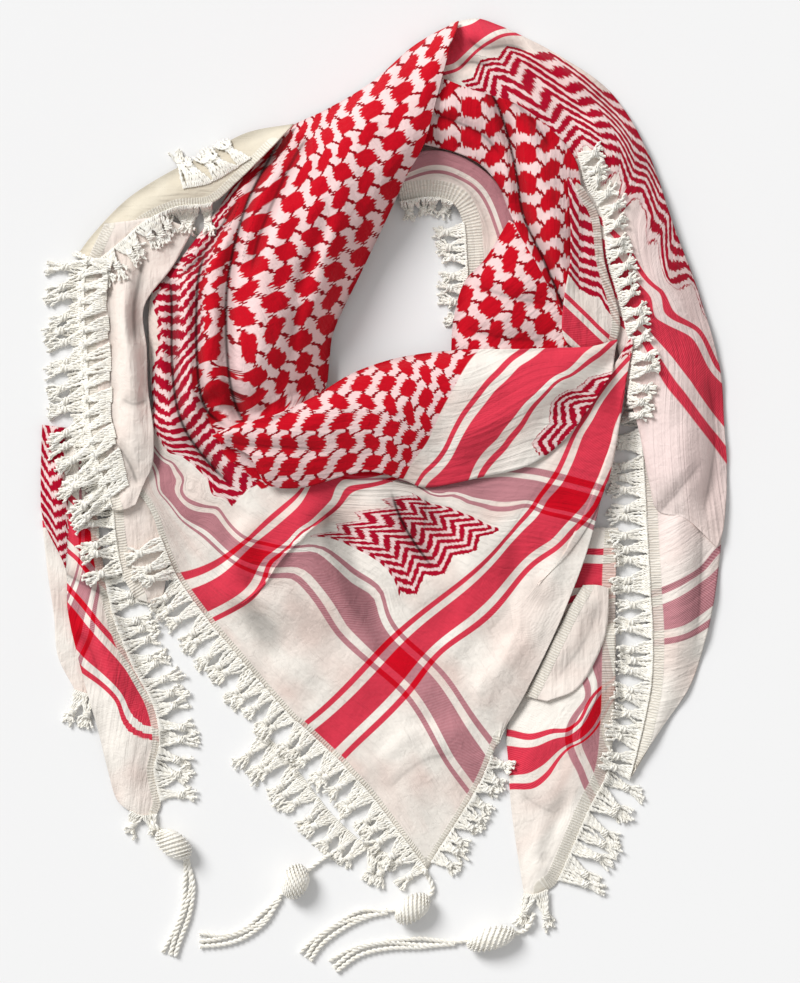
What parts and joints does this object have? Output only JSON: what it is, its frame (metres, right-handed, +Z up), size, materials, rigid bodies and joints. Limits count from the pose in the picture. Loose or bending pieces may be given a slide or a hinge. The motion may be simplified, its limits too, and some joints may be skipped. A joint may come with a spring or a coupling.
{
  "type": "keffiyeh headscarf",
  "caption": "Square cotton keffiyeh folded corner to corner, wound once round a neck opening and laid flat, with knotted fringe and corner tassels.",
  "frame": {"origin": "middle of the laid scarf's outline, on the table that it lies on", "axes": "+Z up from the table, +Y from the hanging front corner towards the back of the neck, +X towards the wearer's left as seen from above"},
  "size_m": [0.4808, 0.6675, 0.0493],
  "materials": {
    "cotton_patterned": "soft plain-weave cotton with raised red net and zigzag figures, red and mauve border stripes, matt",
    "cotton_plain": "soft white to beige plain-weave cotton, slightly ribbed at the hems, matt",
    "fringe_cotton": "twisted and knotted cream cotton yarn, matt"
  },
  "bodies": {
    "root": {"left_tail": "cotton_patterned", "right_tail": "cotton_patterned", "right_wrap_lower": "cotton_patterned", "right_outer_wrap": "cotton_patterned", "back_neck": "cotton_patterned", "right_inner_roll": "cotton_patterned", "right_neck_roll": "cotton_patterned", "right_shoulder_fold": "cotton_patterned", "left_neck_roll": "cotton_patterned", "front_bib": "cotton_patterned", "front_roll": "cotton_patterned", "left_tail_back": "cotton_patterned", "right_under_fold": "cotton_patterned", "left_back_fold": "cotton_patterned", "core_folds": "cotton_plain", "left_lower_fold": "cotton_plain", "left_outer_wrap": "cotton_plain", "fringe_left_tail_back": "fringe_cotton", "fringe_left_tail": "fringe_cotton", "fringe_left_tail_end": "fringe_cotton", "fringe_right_tail": "fringe_cotton", "fringe_right_tail_end": "fringe_cotton", "fringe_right_wrap": "fringe_cotton", "fringe_back_neck": "fringe_cotton", "fringe_back_neck_top": "fringe_cotton", "fringe_right_shoulder": "fringe_cotton", "fringe_left_lower": "fringe_cotton", "fringe_front_rear": "fringe_cotton", "fringe_front_left": "fringe_cotton", "fringe_front_right": "fringe_cotton", "fringe_left_back_fold": "fringe_cotton", "fringe_left_back_upper": "fringe_cotton", "fringe_left_wrap": "fringe_cotton", "tassel_left": "fringe_cotton", "tassel_front_rear": "fringe_cotton", "tassel_front": "fringe_cotton", "tassel_right": "fringe_cotton"}
  },
  "joints": []
}
